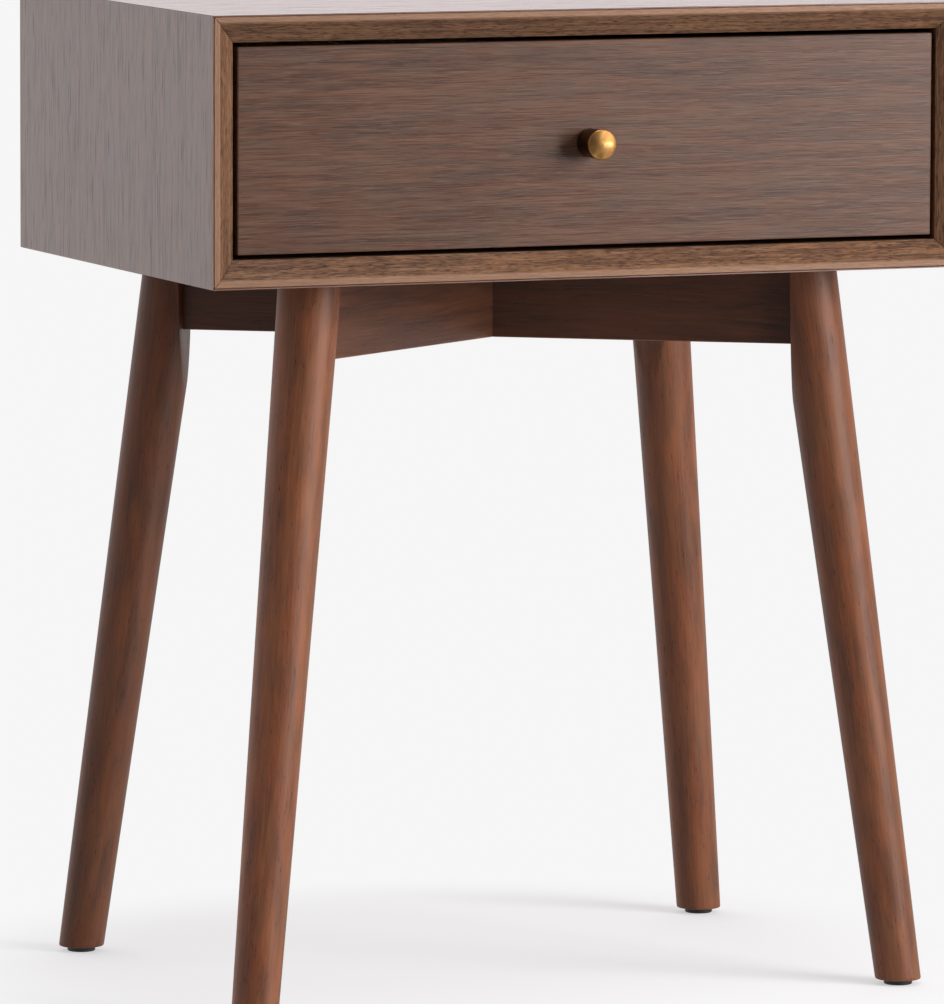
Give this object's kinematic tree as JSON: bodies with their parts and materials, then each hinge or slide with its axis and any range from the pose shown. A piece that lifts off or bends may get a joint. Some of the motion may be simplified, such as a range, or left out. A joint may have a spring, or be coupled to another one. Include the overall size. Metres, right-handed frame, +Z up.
{
  "type": "nightstand",
  "caption": "Nightstand with a veneered box case, a drawer with a round brass knob on full-extension slides, crossed rails under the case and splayed round tapered legs.",
  "frame": {"origin": "on the floor, under the middle of the whole nightstand with its knob", "axes": "+Z up, the drawer opens towards -Y, +X to the right of someone facing the back wall from the front"},
  "size_m": [0.533, 0.3778, 0.6565],
  "materials": {
    "veneer": "satin lacquered grey-brown veneer on board",
    "front_wood": "satin dark walnut veneer",
    "frame_wood": "satin solid walnut",
    "leg_wood": "satin solid walnut",
    "box_wood": "clear lacquered light hardwood",
    "dowel_wood": "raw beech",
    "brass": "aged satin brass",
    "steel": "zinc plated",
    "plastic": "black moulded"
  },
  "bodies": {
    "case": {"back_panel": "veneer", "base_screw_fl": "steel", "base_screw_fr": "steel", "base_screw_rl": "steel", "base_screw_rr": "steel", "bottom_panel": "veneer", "dowel_fl_high": "dowel_wood", "dowel_fl_low": "dowel_wood", "dowel_fr_high": "dowel_wood", "dowel_fr_low": "dowel_wood", "dowel_rl_high": "dowel_wood", "dowel_rl_low": "dowel_wood", "dowel_rr_high": "dowel_wood", "dowel_rr_low": "dowel_wood", "frame_bottom": "frame_wood", "frame_left": "frame_wood", "frame_right": "frame_wood", "frame_top": "frame_wood", "glide_fl": "plastic", "glide_fr": "plastic", "glide_rl": "plastic", "glide_rr": "plastic", "leg_fl": "leg_wood", "leg_fr": "leg_wood", "leg_rl": "leg_wood", "leg_rr": "leg_wood", "rail_a": "leg_wood", "rail_b": "leg_wood", "side_panel_left": "veneer", "side_panel_right": "veneer", "slide_case_left": "steel", "slide_case_right": "steel", "slide_case_screw_left_1": "steel", "slide_case_screw_left_2": "steel", "slide_case_screw_right_1": "steel", "slide_case_screw_right_2": "steel", "top_panel": "veneer"},
    "drawer": {"drawer_box_back": "box_wood", "drawer_box_bottom": "box_wood", "drawer_box_front": "box_wood", "drawer_box_left": "box_wood", "drawer_box_right": "box_wood", "drawer_front": "front_wood", "front_screw_1": "steel", "front_screw_2": "steel", "front_screw_3": "steel", "front_screw_4": "steel", "knob": "brass", "knob_screw": "steel", "slide_drawer_left": "steel", "slide_drawer_right": "steel", "slide_drawer_screw_left_1": "steel", "slide_drawer_screw_left_2": "steel", "slide_drawer_screw_right_1": "steel", "slide_drawer_screw_right_2": "steel"},
    "slide_mid_left": {"slide_mid_left": "steel"},
    "slide_mid_right": {"slide_mid_right": "steel"}
  },
  "joints": [
    {"name": "drawer_slide", "type": "slide", "parent": "case", "child": "drawer", "axis": [0, -1, 0], "range_m": [0, 0.3]},
    {"name": "mid_left_slide", "type": "slide", "parent": "case", "child": "slide_mid_left", "axis": [0, -1, 0], "range_m": [0, 0.15]},
    {"name": "mid_right_slide", "type": "slide", "parent": "case", "child": "slide_mid_right", "axis": [0, -1, 0], "range_m": [0, 0.15]}
  ],
  "couplings": [
    {"joint": "mid_left_slide", "follows": "drawer_slide", "ratio": 0.5},
    {"joint": "mid_right_slide", "follows": "drawer_slide", "ratio": 0.5}
  ]
}
